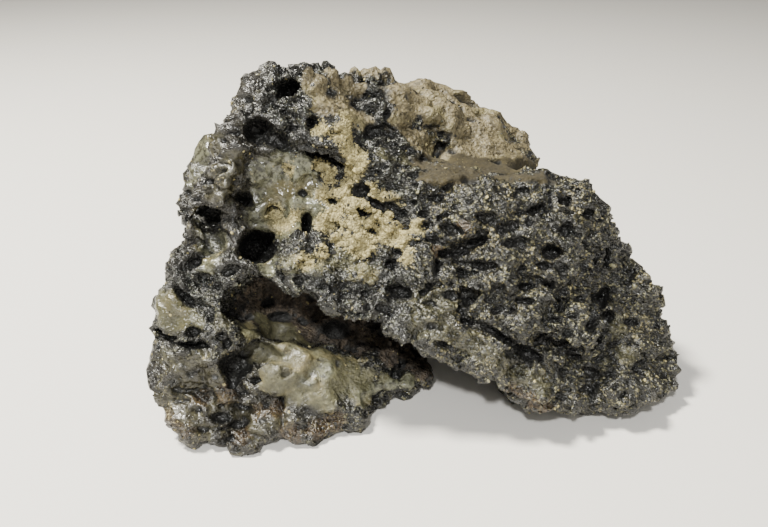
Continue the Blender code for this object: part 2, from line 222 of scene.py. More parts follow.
# Zones of the skin: blobs on the front, each (across, up, radius).
LEDGE_FOOT = tuple((3.6 + 0.8 * step, 7.7, 0.8) for step in range(15))
ZONES = {
    "patina": (
        (-5.9, 16.2, 1.5), (-4, 16.2, 1.6), (-2.4, 15.8, 1.5), (-5, 14, 1.5), (-3.2, 13.6, 1.7),
        (-1.8, 12.8, 1.4), (1.5, 15, 2.4), (4, 13.6, 2.8), (6.5, 12.4, 2.8), (9, 10.6, 2.6),
        (11.5, 9.6, 2.4), (1.4, 12.6, 1.6), (3, 10.6, 2.0), (5.5, 9.8, 2.0), (8, 9.4, 2.0),
        (10.5, 9, 2.0), (13, 8.6, 1.8),
    ),
    "ledge": (
        (3.4, 8.6, 1.2), (5, 9, 1.5), (5, 8.2, 1.2), (7, 8.8, 1.5), (7, 8.2, 1.2), (9, 8.6, 1.4),
        (9, 8.2, 1.2), (11, 8.5, 1.3), (11, 8.2, 1.2), (13, 8.3, 1.2), (6, 8.5, 1.3), (8, 8.4, 1.3),
        (10, 8.4, 1.3), (12, 8.3, 1.2), *LEDGE_FOOT,
    ),
    "rust": (
        (6.9, 3.2, 0.8), (10.3, -10.8, 1.1), (11.6, -11.7, 1.1), (12.9, -12.4, 1.1), (14.4, -13, 1.1),
        (7, -9.4, 0.9), (8.6, -9.8, 0.9), (-8.3, -15.2, 1.1), (-6.1, -14.7, 1.1), (-4.3, -14.1, 1.1),
        (-14, -11.6, 1.0), (-12.6, -15.3, 1.1), (-19, -14, 1.0), (4.6, 1.2, 0.8), (-11, -13.2, 0.8),
        (-16.2, -11.8, 1.0), (-9.4, -12.8, 0.9), (-17.4, -14.6, 0.9),
    ),
    "dust": (
        (-3.6, 11.4, 1.3), (-2.6, 9.8, 1.4), (-3, 8, 1.2), (-3.2, 6.4, 1.3), (-2.2, 5.2, 1.4),
        (-1.4, 4, 1.5), (-0.4, 3, 1.4), (0.8, 4.8, 1.2), (-4.8, 7.8, 0.9), (-5.6, 8.8, 0.8),
        (-5.2, 3.6, 1.1), (-3.6, 2.6, 1.3), (-1.8, 1.6, 1.2), (1.4, 2.4, 1.2), (3, 3.2, 0.9),
        (-7, 0.2, 0.8), (-5.4, 1, 0.9), (2.2, 0.6, 0.8), (0.2, 6.2, 0.9), (-5.6, 11.8, 0.8),
        (-3.6, 12.6, 1.0), (-5.2, 6.2, 0.9), (-1.2, 6.4, 1.0), (-2, 8.8, 0.9), (-4.2, 4.4, 1.0),
        (-9.6, 4.6, 0.7), (-8.9, 3.5, 0.8), (-7.9, 4.2, 0.6), (-6.6, 2.2, 0.7), (-8.4, 8.4, 0.6),
    ),
    "film": (
        (-16, 10, 1.6), (-16.6, 7.6, 1.4), (-15.4, 11.6, 1.2),
        (-10.6, 8, 1.6), (-10.2, 6, 1.9), (-8.4, 5.6, 2.2), (-10.6, 4.2, 1.8), (-6.8, 6.6, 1.6),
        (-7.4, 8.2, 1.6), (-8.4, 3.6, 1.8), (-5.8, 4.4, 1.6), (-9, 9.2, 1.2), (-15.5, 4.4, 1.5),
        (-15.4, 2, 1.6), (-15.8, 0.2, 1.2), (-11.2, 1.4, 1.5), (-10.2, -0.2, 1.2),
        (-0.6, -11.2, 0.9), (0.8, -10.8, 0.9), (2.2, -10.6, 0.9), (-2, -12, 0.9),
        (-8.4, -8.1, 0.9), (-6.6, -10.2, 0.9), (-5.2, -9.4, 0.9), (-7, -8.4, 0.8),
    ),
    "silt": (
        (-10.8, -8.2, 1.7), (-12.3, -5.4, 1.2), (-10.8, -5.2, 1.3), (-9.2, -5.5, 1.4),
        (-8.6, -8, 2.0), (-6, -8.8, 2.2), (-4, -10.2, 2.2), (-8, -11, 1.8), (-2, -11, 1.8),
        (-5.4, -11.8, 1.6), (-10, -10.2, 1.4), (0.4, -10.4, 1.2), (2.2, -10.4, 0.9), (-12, -6, 1.2),
        (-10.4, -6.1, 1.4), (-8.8, -6.2, 1.4), (-7.2, -6.7, 1.3), (-5.7, -7.5, 1.4), (-4.2, -8.3, 1.4),
        (-2.8, -9.2, 1.3), (-1.4, -10.2, 1.1), (-13.4, -9.4, 0.9),
    ),
    "clay": (
        (-19.2, -3.6, 1.4), (-18.6, -5, 1.3), (-17.4, -4.9, 1.2), (-16.6, -5.3, 0.9),
        (-20, -4.4, 1.1), (-20, -2.8, 0.8),
    ),
    "pale": (
        (-8.4, -0.2, 1.0), (-7.6, 0, 0.9), (-6.6, 0.1, 1.0), (-5.6, 0.1, 1.0), (-4.6, 0.3, 1.1),
        (-3.9, 0.1, 1.1), (-3.2, 0, 1.1), (-2.5, -0.2, 1.1), (-1.8, -0.6, 1.0), (-1.2, -0.9, 0.9),
        (-3, -0.8, 1.0), (-4.4, 1.2, 0.9), (-2.8, 0.9, 0.8),
    ),
    "haze": (
        (10.8, -8.8, 1.3), (12.2, -9.9, 1.2), (14, -10.8, 1.2), (7.6, -7.2, 1.3), (9.2, -8, 1.2),
        (3.4, -5.4, 1.4), (5.4, -6.2, 1.3), (5.2, -3.6, 1.4), (3.2, -3.4, 1.2), (-15.4, 6.2, 1.2),
        (-16, 9, 1.2), (0.2, 9.4, 1.2), (2, 9.2, 1.0), (-13.2, 8.8, 1.4), (-13.8, 6.6, 1.3),
        (20.6, -5.6, 1.3), (21.6, -8, 1.2), (-17, -11, 1.3), (-14.4, -5.2, 1.0), (-17.8, -9.4, 1.1),
        (-19.4, -8.4, 1.2), (-17.2, -13.2, 1.4), (-14.6, -12.4, 1.3), (-19.2, -12.2, 1.3),
        (-11.2, -14.4, 1.2), (-15.4, -10.2, 1.3), (-12.6, -13.4, 1.2), (-9, -14, 1.1), (-16, -14.8, 1.2),
        (-19.6, -14.4, 1.1), (-16.2, -8.4, 1.1), (-14.6, 10.6, 1.2), (-14.8, 7.8, 1.2),
    ),
    "deep": (
        (-11, -3.6, 2.4), (-8, -3.8, 2.6), (-5, -5.4, 2.4), (-2, -6.4, 2.4), (0.6, -7.4, 2.0),
        (3, -8.6, 2.0), (1.8, -6.8, 1.8), (3.6, -7.8, 1.6), (4.8, -9, 1.2),
    ),
    "bare": (
        (-1, 16.4, 1.1), (-0.6, 15.2, 1.0), (0, 14.2, 0.9), (0.4, 16.2, 0.9), (3.2, 12.6, 0.8),
        (4.4, 11.9, 0.8), (6.3, 13.9, 0.9), (8.8, 13.4, 0.8), (10.2, 12.5, 1.0), (11.6, 11.3, 0.9),
        (13.2, 9.6, 0.7), (-4.4, 17, 0.9), (0.8, 11.4, 1.0), (5.2, 10.8, 0.9), (7.6, 14.4, 0.7),
        (-6.6, 1.8, 0.9), (-1, 8, 0.9), (-4.4, 9.6, 0.6),
    ),
}
# How each zone is pitted: spacing, smallest and largest half-size.
PITS = {
    "glass": (1.35, 0.22, 0.75),
    "patina": (2.3, 0.18, 0.4),
    "dust": (1.7, 0.2, 0.5),
    "film": (3.4, 0.2, 0.35),
    "haze": (1.4, 0.2, 0.4),
    "rust": (1.4, 0.2, 0.45),
    "silt": (2.6, 0.2, 0.35),
    "clay": (3.0, 0.2, 0.3),
    "pale": (1.8, 0.2, 0.4),
    "bare": (1.1, 0.3, 0.7),
    "ledge": (2.6, 0.2, 0.35),
    "deep": (1.9, 0.35, 0.9),
}
ZONE_NAMES = tuple(ZONES)
BLOB_TOP = 1.6     # a blob is full up to half its radius, and gone a third beyond it
BLOB_FALL = 1.2

# Borders of the zones that follow the stone's own axes: where each begins, and over what length.
PATINA_BEHIND = (4, 5)
PATINA_ABOVE = (13, 8)
ASH_RIGHT_OF = (-3, 4)
ASH_BELOW = (13, 5)
LOW_ASH = 0.7
FOOT_LEFT_OF = (-8, 4)
FOOT_BELOW = (10, 4)
SHOULDER_LEFT_OF = (-13, 2.2)
SHOULDER_ABOVE = (13, 4)

EVEN_CELL = 0.35 * MM          # cells of the even skin that the listed places are found on

# The relief that the whole skin gets. Swells: width, height and the noise's seed.
SWELLS = ((3.4, 0.8, 1), (1.6, 0.6, 2))
SMOOTH_SWELL = (1.9, 0.5, 5)
FILM_SWELL = (1.4, 0.5, 8)
GRIT_RIPPLE = (0.4, 6)         # width and seed
SMOOTH_RIPPLE = (0.9, 0.3, 7)
# Foam: the bubbles' sizes along X, Y and Z, and their depth as a share of the set depth.
FOAM = (((2.3, 1.7, 1.5), 1.0), ((1.2, 0.95, 0.75), 0.5))
TINY = 1e-9                    # keeps a division from being by nothing
SHALLOWEST_FOAM = 0.25         # depth of the shallowest bubble, as a share of the deepest
FOAM_RISE = 0.4                # how far the skin is lifted first, as a share of the set depth
ASHEN_FOAM = 0.25              # how much shallower the foam is where ash lies
# Winding cracks: how far they stretch along X, Y and Z, then their width, depth and slant.
CRACKS = (((5.5, 3.5, 1.9), 0.09, 1.1, 0.2), ((3.1, 2.3, 1.0), 0.13, 0.6, 0.3))
WORN_CRACKS = 0.2              # what is left of the cracks where the skin is worn
# How far each zone holds back the foam, the swells, the grit and the grains.
HELD_BACK = {
    "foam": {"film": 1.0, "silt": 1.0, "clay": 1.0, "pale": 0.5, "patina": 0.75, "ledge": 0.95, "deep": 0.5},
    "swells": {"film": 0.6, "silt": 0.45, "clay": 0.45, "ledge": 0.9, "deep": 0.4},
    "grit": {"film": 0.85, "silt": 0.85, "clay": 0.85, "ledge": 0.85, "patina": 0.4},
    "grains": {
        "film": 1.0, "silt": 1.0, "clay": 1.0, "ledge": 1.0, "patina": 0.85, "haze": 0.6, "dull": 0.6,
        "deep": 2.0,
    },
}
MOST_HELD_BACK = {"foam": 0.97, "swells": 0.9, "grit": 0.95, "grains": 0.98}
SMOOTH_ZONES = {"film": 1.0, "silt": 1.0, "clay": 1.0, "pale": 0.5}

# How the listed pits lie.
LEAN = 0.8                     # how far a pit leans from the line of view to the skin's normal
DEEP_LEAN = 0.4
SLOT_DEPTH = 0.6               # for its depth, a long pit counts as at least this share of its length wide
PIT_RISE = 0.15                # how far out its middle lies, as a share of its depth

# How far around any pit its points are looked for, as a share of its largest half-size.
PIT_MARGIN = 1.1
# Painted shade inside the pits: where it ends around a pit's axis and where it begins on the way in, and how
# steeply.
PIT_SHADE_RING = (1.25, 4)
PIT_SHADE_DEPTH = (0.2, 3.5)

# How bubbles are scattered.
TRIES = 60000
ZONE_FROM = 0.35               # a place counts to a zone from this weight on
GRID = 3                       # size of the cells that neighbours are looked for in, one cell either way
SIZE_POWER = 2.2               # the higher, the fewer large ones
ASHEN_SIZES = 0.8              # how far ash lowers that
BACK_FROM = 3                  # behind this they are larger and farther apart
BACK_SIZE = 1.5
BACK_SPACING = 1.2
BASE_BELOW = 2                 # in front of that and below this they are smaller
BASE_SIZE = 0.6
ROOM = (0.75, 0.5)             # share of its zone's spacing that any bubble keeps, and what size adds
ASHEN_CROWDING = 0.12          # how much closer they stand where ash lies
SCATTER_TURNS = (-0.6, 0.3)    # how far their lengths turn from level, in radians
SCATTER_LEAN = 0.2             # how far their lengths lean to the back
SCATTER_STRETCHES = (1.0, 2.7)
SCATTER_DEPTHS = (1.5, 2.4)
SCATTER_RISE = 0.1
SCATTER_PIT_SHADE = (0.4, 0.4)      # painted shade inside the plain ones, and what ash adds

# How open the skin is, near and far: reach of the rays and their number.
OPENNESS = {"open": (1.4, 12), "airy": (6, 7)}
RAY_START = 0.05
RAY_SPREAD = 0.85
RAY_SEED = 5
FRONT_FROM = -0.2              # the front is what faces the viewpoint, and a little round its edge

# Crumbs and grains: the smallest and the largest radius.
CRUMB_SIZES = (0.05, 0.24)
GRAIN_SIZES = (0.08, 0.3)
GRAIN_POWER = 2.5              # the higher, the fewer large ones
SUNK = 0.2                     # how far they sit in the stone, as a share of their radius
DENTS = (0.6, 1.15)
STRETCHES = (0.55, 1.2)
DUST_FROM = 0.25               # crumbs gather where there is more dust than this
CRUMB_POWER = 1.5
STRAY_CRUMBS = 0.0007          # a few lie elsewhere
SHELTERED_CRUMBS = 0.15        # and a few where the skin isn't open

# Where each finish shows: how ragged its edge is, the weights between which it comes in, and how
# strongly it covers.
FINISH_EDGES = {
    "haze": (0.4, 0.25, 0.7, 0.88),
    "rust": (0.4, 0.2, 0.7, 0.55),
    "silt": (0.35, 0.2, 0.8, 1.0),
    "film": (0.35, 0.2, 0.75, 1.0),
    "pale": (0.35, 0.2, 0.8, 1.0),
    "clay": (0.3, 0.2, 0.7, 1.0),
    "patina": (0.35, 0.32, 0.6, 1.0),
    "ledge": (0.2, 0.2, 0.5, 1.0),
    "dust": (0.3, 0.22, 0.52, 1.0),
    "deep": (0.25, 0.12, 0.42, 1.0),
}
# Mottled finishes: the colour and shade of the light patches, the dark ones and the accents, and how
# dense the dark specks are.
MOTTLED = {
    "silt": (("silt", 1.0), ("silt", 0.55), ("dust", 0.5), 0.35),
    "film": (("film", 1.4), ("film", 0.28), ("dust", 0.3), 0.2),
    "clay": (("silt", 0.57), ("silt", 0.4), ("dust", 0.2), 0.2),
    "patina": (("patina", 1.0), ("patina", 0.4), ("dust", 0.42), 0.35),
    "ledge": (("ledge", 1.0), ("ledge", 0.6), ("ledge", 1.3), 0.55),
}
# What each finish adds to the roughness, and how far it smooths the fine relief.
ROUGHER = {"dust": 0.5, "patina": 0.25, "deep": 0.4, "silt": 0.2, "ledge": 0.6, "dull": 0.06}
SMOOTHER = {
    "film": 0.85, "silt": 0.6, "ledge": 0.7, "patina": 0.4, "clay": 0.7, "haze": 0.45, "dull": 0.4,
}

# The square lamps: place, side and tint. Their strengths are settings.
LAMPS = {
    "key": ((-130, 10, 250), 45, (1.0, 0.96, 0.85)),
    "fill": ((120, -300, 200), 300, (1.0, 0.98, 0.92)),
    "glint": ((-60, -200, 240), 22, (0.98, 0.98, 0.96)),
}
LAMP_TARGET = (0, 0, 12)
SKY_TINT = (1.0, 0.98, 0.94, 1.0)
FLOOR_SIDE = 3000
VIEW_END = 10000               # how far the camera sees


# ---------------------------------------------------------------- settings

def length(name, description, default):
    """A length that the user may change. Its default is in millimetres."""
    return FloatProperty(
        name=name, description=description, default=default * MM, unit="LENGTH", subtype="DISTANCE",
        precision=5,
    )


def colour(name, description, default):
    """A colour that the user may change."""
    return FloatVectorProperty(name=name, description=description, default=default, subtype="COLOR")


def watts(name, default):
    """The strength of a lamp, which the user may change."""
    return FloatProperty(name=name, description="Strength in watts", default=default, unit="POWER")


class ScoriaStone(bpy.types.PropertyGroup):
    cell: length("Cell", "Size of the skin's cells", 0.15)
    foam: length("Foam", "Depth of the small bubbles on the glassy faces", 0.85)
    grit: length("Grit", "Height of the grit on the glassy faces", 0.17)
    front_triangles: IntProperty(
        name="Front triangles", description="The most triangles that the front may have", default=150000,
    )
    back_triangles: IntProperty(
        name="Back triangles", description="The most triangles that the back and base may have",
        default=45000,
    )
    seed: IntProperty(name="Seed", description="Seed of the scattered bubbles", default=11)


class ScoriaGrains(bpy.types.PropertyGroup):
    crumbs: IntProperty(name="Crumbs", description="Number of tan crumbs", default=9000)
    grains: IntProperty(name="Grains", description="Number of glassy grains", default=8000)
    seed: IntProperty(name="Seed", description="Seed of the grains", default=23)


class ScoriaColours(bpy.types.PropertyGroup):
    glass: colour("Glass", "Dark volcanic glass", (0.012, 0.012, 0.011))
    speckle: colour("Speckle", "Lighter specks in the glass where ash lies", (0.31, 0.29, 0.165))
    # Painted glints: cool light specks that stand in for the glass's highlights.
    glints: colour("Glints", "Cool specks in the glass where there is no ash", (0.18, 0.2, 0.17))
    dust: colour("Dust", "Tan dust", (0.42, 0.36, 0.175))
    patina: colour("Patina", "Weathered brown skin", (0.19, 0.156, 0.082))
    film: colour("Film", "Grey film in the smooth bubbles", (0.132, 0.133, 0.088))
    silt: colour("Silt", "Smooth grey-tan silt", (0.144, 0.137, 0.074))
    haze: colour("Haze", "Dull grey-green glass", (0.052, 0.049, 0.027))
    rust: colour("Rust", "Brown stain on the broken edges", (0.12, 0.074, 0.032))
    ledge: colour("Ledge", "Brown skin of the ledge", (0.034, 0.0255, 0.007))
    deep: colour("Deep", "Brown inside of the cavity", (0.1, 0.075, 0.05))


class ScoriaStage(bpy.types.PropertyGroup):
    floor: colour("Floor", "Colour of the floor", (0.78, 0.76, 0.72))
    key: watts("Key light", 2.35)
    fill: watts("Fill light", 0.33)
    glint: watts("Glint light", 0.85)
    sky: FloatProperty(name="Sky", description="Strength of the sky", default=0.23)


# ---------------------------------------------------------------- modelling helpers

def alone(piece):
    """Selects this piece and nothing else."""
    bpy.ops.object.select_all(action="DESELECT")
    piece.select_set(True)
    bpy.context.view_layer.objects.active = piece


def modify(piece, kind, **settings):
    """Adds a modifier with these settings and applies it."""
    alone(piece)
    modifier = piece.modifiers.new(kind.title(), kind)
    for name, value in settings.items():
        setattr(modifier, name, value)
    bpy.ops.object.modifier_apply(modifier=modifier.name)


def copy_of_node(node, name):
    """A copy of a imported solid, merged into one skin."""
    source = frame["nodes"][node]
    piece = bpy.data.objects.new(name, source.data.copy())
    bpy.context.scene.collection.objects.link(piece)
    piece.data.materials.clear()
    alone(piece)
    bpy.ops.object.mode_set(mode="EDIT")
    bpy.ops.mesh.select_all(action="SELECT")
    bpy.ops.mesh.remove_doubles(threshold=WELD * MM)
    bpy.ops.mesh.tris_convert_to_quads()
    bpy.ops.object.mode_set(mode="OBJECT")
    return piece


def keep_largest(piece):
    """Drops the bits that hang loose beside the main skin, which is the one with the highest point."""
    alone(piece)
    bpy.ops.object.mode_set(mode="EDIT")
    bpy.ops.mesh.select_mode(type="VERT")
    bpy.ops.mesh.select_all(action="DESELECT")
    bpy.ops.object.mode_set(mode="OBJECT")
    heights = [vert.co.z for vert in piece.data.vertices]
    piece.data.vertices[heights.index(max(heights))].select = True
    bpy.ops.object.mode_set(mode="EDIT")
    bpy.ops.mesh.select_linked()
    bpy.ops.mesh.select_all(action="INVERT")
    bpy.ops.mesh.delete(type="VERT")
    bpy.ops.object.mode_set(mode="OBJECT")


def thin_out(piece, front, most_front, most_back):
    """Thins the faces whose corners are marked as front to one number, and the others to another."""
    front_faces = 0
    for face in piece.data.polygons:
        face.select = all(front[corner] for corner in face.vertices)
        front_faces += face.select
    triangles_each = len(piece.data.polygons[0].vertices) - 2
    back_faces = len(piece.data.polygons) - front_faces
    alone(piece)
    bpy.ops.object.mode_set(mode="EDIT")
    bpy.ops.mesh.select_mode(type="FACE")
    for faces, most in ((front_faces, most_front), (back_faces, most_back)):
        bpy.ops.mesh.decimate(ratio=min(1.0, most / (faces * triangles_each)))
        bpy.ops.mesh.select_all(action="INVERT")
    bpy.ops.object.mode_set(mode="OBJECT")


def places(piece):
    """The piece's points in millimetres, and its normals."""
    count = len(piece.data.vertices)
    spots = np.empty(count * 3, np.float32)
    piece.data.vertices.foreach_get("co", spots)
    normals = np.empty(count * 3, np.float32)
    piece.data.vertices.foreach_get("normal", normals)
    return spots.reshape(-1, 3).astype(float) / MM, normals.reshape(-1, 3).astype(float)


def move_to(piece, spots):
    """Moves the piece's points to these places, in millimetres."""
    piece.data.vertices.foreach_set("co", (spots * MM).astype(np.float32).ravel())
    piece.data.update()


def triangles(piece):
    """The corners of the piece's triangles, and their areas."""
    mesh = piece.data
    mesh.calc_loop_triangles()
    count = len(mesh.loop_triangles)
    corners = np.empty(count * 3, np.int32)
    mesh.loop_triangles.foreach_get("vertices", corners)
    areas = np.empty(count)
    mesh.loop_triangles.foreach_get("area", areas)
    return corners.reshape(-1, 3), areas


def store(piece, name, values):
    """Keeps one value for each point of the piece, for its material."""
    attribute = piece.data.attributes.new(name, "FLOAT", "POINT")
    attribute.data.foreach_set("value", values.astype(np.float32))


def stored(piece, name):
    """The values that are kept under this name, one for each point of the piece."""
    values = np.empty(len(piece.data.vertices), np.float32)
    piece.data.attributes[name].data.foreach_get("value", values)
    return values.astype(float)


def surface(piece):
    """What rays are cast against: the piece's surface, in metres."""
    shape = bmesh.new()
    shape.from_mesh(piece.data)
    tree = BVHTree.FromBMesh(shape)
    shape.free()
    return tree


def keep_in_box(spots):
    """The same points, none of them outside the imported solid's box."""
    return np.clip(spots, np.array(CAD_BOX[0]) / MM, np.array(CAD_BOX[1]) / MM)


# ---------------------------------------------------------------- places on the front, and zones

def view_direction(across, rise):
    """The direction from the viewpoint to a place on the view plane."""
    return (Vector(AHEAD) * VIEW_DISTANCE + Vector((across, 0, 0)) + Vector(UP) * rise).normalized()


def front_point(tree, across, rise):
    """Where the line of view through a place on the view plane meets the surface, and the normal there."""
    spot, normal, _, _ = tree.ray_cast(VIEWPOINT * MM, view_direction(across, rise))
    if spot is None:
        return None, None
    return spot / MM, normal


def nudge(spots):
    """Draws the skin aside in the view, most at each mark and less towards the end of its reach."""
    ahead, up, side = (np.array(way) for way in (AHEAD, UP, SIDE))
    for across, rise, reach, shift_across, shift_up in NUDGES:
        off = spots - np.array(VIEWPOINT)
        scale = off @ ahead / VIEW_DISTANCE
        far = np.hypot(off @ side / scale - across, off @ up / scale - rise) / reach
        pull = (np.clip(1 - far * far, 0, 1) ** 2 * scale)[:, None]
        spots = spots + pull * (side * shift_across + up * shift_up)
    return spots


def blobs_on(tree):
    """The zones' blobs, with their middles on the surface."""
    blobs = {}
    for zone, marks in ZONES.items():
        blobs[zone] = []
        for across, rise, radius in marks:
            spot, _ = front_point(tree, across, rise)
            if spot is not None:
                blobs[zone].append((np.array(spot), radius))
    return blobs


def wave(values, height, stretch, start):
    """A wavy line of this height, one swing for about six of its stretches."""
    return height * np.sin(values / stretch + start)


def past(values, border, wander=0.0):
    """0 before a border, rising to 1 beyond it. The border may wander."""
    place, fade = border
    return np.clip((values - place + wander) / fade, 0, 1)


def short_of(values, border):
    """0 beyond a border, rising to 1 before it."""
    place, fade = border
    return np.clip((place - values) / fade, 0, 1)


def zone_weights(spots, blobs):
    """How much each point belongs to each zone, from 0 to 1."""
    weights = {}
    for zone, centres in blobs.items():
        weight = np.zeros(len(spots))
        for centre, radius in centres:
            far = np.linalg.norm(spots - centre, axis=1) / radius
            weight = np.maximum(weight, np.clip(BLOB_TOP - BLOB_FALL * far, 0, 1))
        weights[zone] = weight
    x, y, z = spots.T
    drift = wave(z, height=1.8, stretch=2.9, start=2) + wave(z, height=1.1, stretch=1.2, start=x / 2.3)
    sway = wave(x, height=2.5, stretch=3.4, start=1) + wave(x, height=1.5, stretch=1.3, start=y / 2.1)
    weathered = past(y, PATINA_BEHIND, drift) * past(z, PATINA_ABOVE, sway)
    weights["patina"] = np.maximum(weights["patina"], weathered)
    for zone in ("patina", "dust"):
        weights[zone] *= 1 - weights["bare"]
    weights["ash"] = np.maximum(past(x, ASH_RIGHT_OF), short_of(z, ASH_BELOW) * LOW_ASH)
    foot = short_of(x, FOOT_LEFT_OF) * short_of(z, FOOT_BELOW)
    shoulder = short_of(x, SHOULDER_LEFT_OF) * past(z, SHOULDER_ABOVE)
    weights["dull"] = np.maximum(foot, shoulder)
    return weights


def left_by_zones(kind, weights):
    """How much of the foam, the swells, the grit or the grains the zones leave, from 0 to 1."""
    held = sum(weights[zone] * share for zone, share in HELD_BACK[kind].items())
    return 1 - np.clip(held, 0, MOST_HELD_BACK[kind])


# ---------------------------------------------------------------- pits

class Pit:
    """A round or long bubble: its middle, how it lies, its half-sizes along, across and in, and how much
    painted shade its inside gets.
    """

    def __init__(self, centre, inward, along, half_sizes, soot):
        self.centre = np.array(centre)
        self.soot = soot
        self.inward = np.array(inward.normalized())
        level = along - inward * along.dot(inward)
        self.along = np.array(level.normalized())
        self.across = np.cross(self.inward, self.along)
        self.half_sizes = half_sizes


def near_pits(spots, pits):
    """For each pit, the points near it, how far they are from its axis, and how far in, in half-sizes."""
    finder = KDTree(len(spots))
    for index, spot in enumerate(spots):
        finder.insert(spot, index)
    finder.balance()
    for pit in pits:
        nearby = finder.find_range(pit.centre, max(pit.half_sizes) * PIT_MARGIN)
        found = [index for _, index, _ in nearby]
        if found:
            off = spots[found] - pit.centre
            long_half, wide_half, deep_half = pit.half_sizes
            ring = (off @ pit.along / long_half) ** 2 + (off @ pit.across / wide_half) ** 2
            yield pit, found, ring, off @ pit.inward / deep_half


def press(piece, pits):
    """Presses the pits in: what lies inside a pit's ball goes in to the ball's far wall."""
    spots, _ = places(piece)
    for pit, found, ring, deep in near_pits(spots, pits):
        inside = (ring < 1) & (ring + deep * deep < 1)
        move = (np.sqrt(np.clip(1 - ring, 0, 1)) - deep) * pit.half_sizes[2]
        spots[found] += np.where(inside, move, 0)[:, None] * pit.inward
    move_to(piece, spots)


def pit_shade_in(spots, pits):
    """How much painted shade each point gets: 0 outside the pits and at their mouths, and more towards their
    ends.
    """
    soot = np.zeros(len(spots))
    rim, rim_steepness = PIT_SHADE_RING
    start, steepness = PIT_SHADE_DEPTH
    for pit, found, ring, deep in near_pits(spots, pits):
        share = np.clip((rim - ring) * rim_steepness, 0, 1) * np.clip((deep - start) * steepness, 0, 1)
        soot[found] = np.maximum(soot[found], share * pit.soot)
    return soot


def hand_placed_pits(even, rough):
    """The listed bubbles, set at the rough skin's depth but turned as the even skin lies."""
    pits = []
    for group, bubbles in BUBBLES.items():
        lean = DEEP_LEAN if group == "deep_rooms" else LEAN
        # Painted shade inside the listed pits, none in the low rooms.
        soot = 0.0 if group == "low_rooms" else 1.0
        for across, rise, half_length, half_width, roll in bubbles:
            _, normal = front_point(even, across, rise)
            spot, _ = front_point(rough, across, rise)
            if spot is None or normal is None:
                continue
            inward = (view_direction(across, rise) - normal * lean).normalized()
            level = Vector((math.cos(math.radians(roll)), 0, math.sin(math.radians(roll))))
            deep = max(half_width, half_length * SLOT_DEPTH) * DEPTH_OF[group]
            scale = ROUNDING if half_length < LARGE_BUBBLE else 1.0
            half_sizes = (half_length * scale, half_width * scale, deep * scale)
            centre = spot - inward * PIT_RISE * half_sizes[2]
            pits.append(Pit(centre, inward, level, half_sizes, soot))
    return pits


def cell_of(spot):
    """The cell that a place is in."""
    return np.floor(spot / GRID).astype(int)


def crowded(spot, spacing, cells):
    """Whether a pit in the cells around lies nearer to a place than this."""
    home = cell_of(spot)
    for shift in np.ndindex(3, 3, 3):
        for other in cells.get(tuple(home + shift - 1), ()):
            if np.linalg.norm(other - spot) < spacing:
                return True
    return False


def scattered_pits(piece, blobs, seed, taken):
    """Bubbles of random size all over the piece, spaced as their zone asks."""
    draw = np.random.default_rng(seed)
    corners, areas = triangles(piece)
    spots, normals = places(piece)
    chosen = draw.choice(len(areas), size=TRIES, p=areas / areas.sum())
    middles = spots[corners[chosen]].mean(axis=1)
    facing = normals[corners[chosen, 0]]
    weights = zone_weights(middles, blobs)
    table = np.array([weights[zone] for zone in ZONE_NAMES])
    strongest = table.argmax(axis=0)
    strong = table.max(axis=0) > ZONE_FROM
    cells = {}
    for pit in taken:
        cells.setdefault(tuple(cell_of(pit.centre)), []).append(pit.centre)
    pits = []
    for index, spot in enumerate(middles):
        zone = ZONE_NAMES[strongest[index]] if strong[index] else "glass"
        spacing, small, large = PITS[zone]
        ash = weights["ash"][index] if zone == "glass" else 0.0
        size = small + (large - small) * draw.random() ** (SIZE_POWER - ASHEN_SIZES * ash)
        if spot[1] > BACK_FROM:
            size *= BACK_SIZE
            spacing *= BACK_SPACING
        elif spot[2] < BASE_BELOW:
            size *= BASE_SIZE
        room = spacing * (ROOM[0] + ROOM[1] * size / large) * (1 - ASHEN_CROWDING * ash)
        if crowded(spot, room, cells):
            continue
        cells.setdefault(tuple(cell_of(spot)), []).append(spot)
        outward = Vector(facing[index])
        turn = draw.uniform(*SCATTER_TURNS)
        along = Vector((math.cos(turn), SCATTER_LEAN, math.sin(turn)))
        stretch = draw.uniform(*SCATTER_STRETCHES)
        deep = size * draw.uniform(*SCATTER_DEPTHS)
        # Painted shade inside the scattered pits, more where ash lies.
        soot = SCATTER_PIT_SHADE[0] + SCATTER_PIT_SHADE[1] * ash
        centre = Vector(spot) + outward * SCATTER_RISE * deep
        pits.append(Pit(centre, -outward, along, (size * stretch, size, deep), soot))
    return pits


# ---------------------------------------------------------------- relief

def ripple(spots, normals, width, height, seed):
    """Moves points along their normals by noise of this width, as much as height says for each."""
    shift = Vector((seed, 2 * seed, 0))
    lifts = np.array([noise.noise(Vector(spot) / width + shift) for spot in spots])
    return spots + normals * (lifts * height)[:, None]


def chance(point):
    """A number from 0 to 1 that is always the same for the same point. The factors only scatter it."""
    return math.sin(point.x * 12.99 + point.y * 78.23 + point.z * 37.72) * 43758.5453 % 1


def foam(spots, normals, sizes, depth):
    """Sinks the surface into close-packed bubbles of these sizes along X, Y and Z, with sharp walls."""
    lifts = np.empty(len(spots))
    for index, spot in enumerate(spots / sizes):
        distances, middles = noise.voronoi(Vector(spot))
        wall = 2 * distances[0] / (distances[0] + distances[1] + TINY)
        lifts[index] = (wall * wall - 1) * (SHALLOWEST_FOAM + (1 - SHALLOWEST_FOAM) * chance(middles[0]))
    return spots + normals * (lifts * depth)[:, None]


def crevices(spots, normals, sizes, width, depth, slant):
    """Sinks winding cracks where a noise of these sizes along X, Y and Z passes through zero."""
    leaning = spots.copy()
    leaning[:, 2] += spots[:, 0] * slant
    lifts = np.empty(len(spots))
    for index, spot in enumerate(leaning / sizes):
        lifts[index] = min(0, abs(noise.noise(Vector(spot))) / width - 1)
    return spots + normals * (lifts * depth)[:, None]


